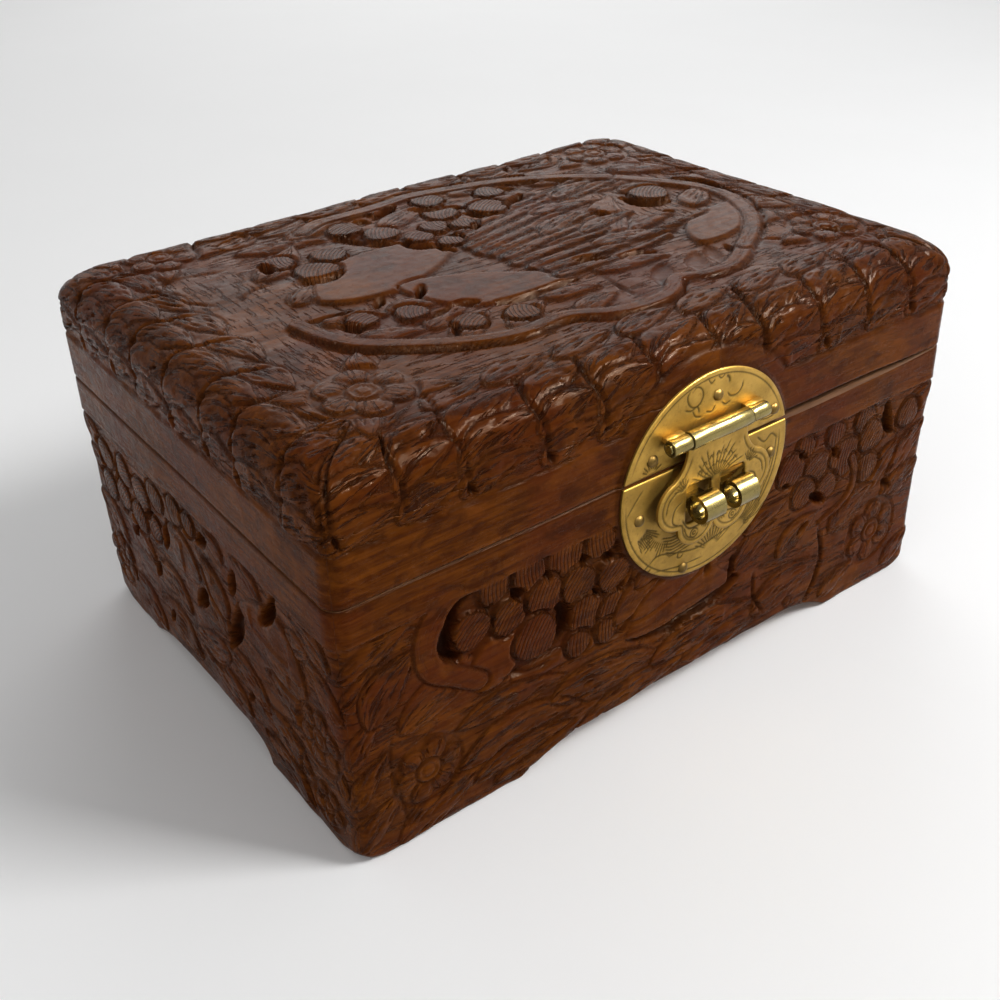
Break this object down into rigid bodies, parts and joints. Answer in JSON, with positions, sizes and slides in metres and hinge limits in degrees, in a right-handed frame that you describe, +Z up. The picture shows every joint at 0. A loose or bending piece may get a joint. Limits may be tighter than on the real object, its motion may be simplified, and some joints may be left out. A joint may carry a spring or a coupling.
{
  "type": "keepsake box",
  "caption": "Carved hardwood keepsake box on bracket feet, with a hinged lid and a round brass lock plate whose hasp drops over staples.",
  "frame": {"origin": "middle of the whole box with its brass, on the surface that its feet stand on", "axes": "+X to the right along the front, +Y from the front with the lock to the back with the hinges, +Z up"},
  "size_m": [0.205, 0.1628, 0.108],
  "materials": {
    "carved_wood": "carved, stained red-brown and glossily varnished",
    "plain_wood": "planed and unvarnished",
    "engraved_brass": "engraved, with dark patina in the lines",
    "polished_brass": "worn bright",
    "old_brass": "dull with age"
  },
  "bodies": {
    "base": {"base_front_board": "carved_wood", "base_back_board": "carved_wood", "base_left_board": "carved_wood", "base_right_board": "carved_wood", "bottom_board": "plain_wood", "lower_lock_plate": "engraved_brass", "lower_plate_nails": "old_brass", "left_staple": "polished_brass", "right_staple": "polished_brass", "left_hinge_base_leaf": "old_brass", "right_hinge_base_leaf": "old_brass", "left_hinge_pin": "old_brass", "right_hinge_pin": "old_brass", "base_hinge_screws": "old_brass"},
    "lid": {"lid_top_board": "carved_wood", "lid_front_rail": "carved_wood", "lid_back_rail": "carved_wood", "lid_left_rail": "carved_wood", "lid_right_rail": "carved_wood", "upper_lock_plate": "engraved_brass", "upper_plate_nails": "old_brass", "hasp_pin": "polished_brass", "left_hinge_lid_leaf": "old_brass", "right_hinge_lid_leaf": "old_brass", "lid_hinge_screws": "old_brass"},
    "hasp": {"hasp": "engraved_brass"}
  },
  "joints": [
    {"name": "lid_hinge", "type": "hinge", "parent": "base", "child": "lid", "pos_m": [0, 0.0794, 0.07565], "axis": [-1, 0, 0], "range_deg": [0, 105]},
    {"name": "hasp_swing", "type": "hinge", "parent": "lid", "child": "hasp", "pos_m": [0.0057, -0.0744, 0.0835], "axis": [-1, 0, 0], "range_deg": [0, 170]}
  ]
}
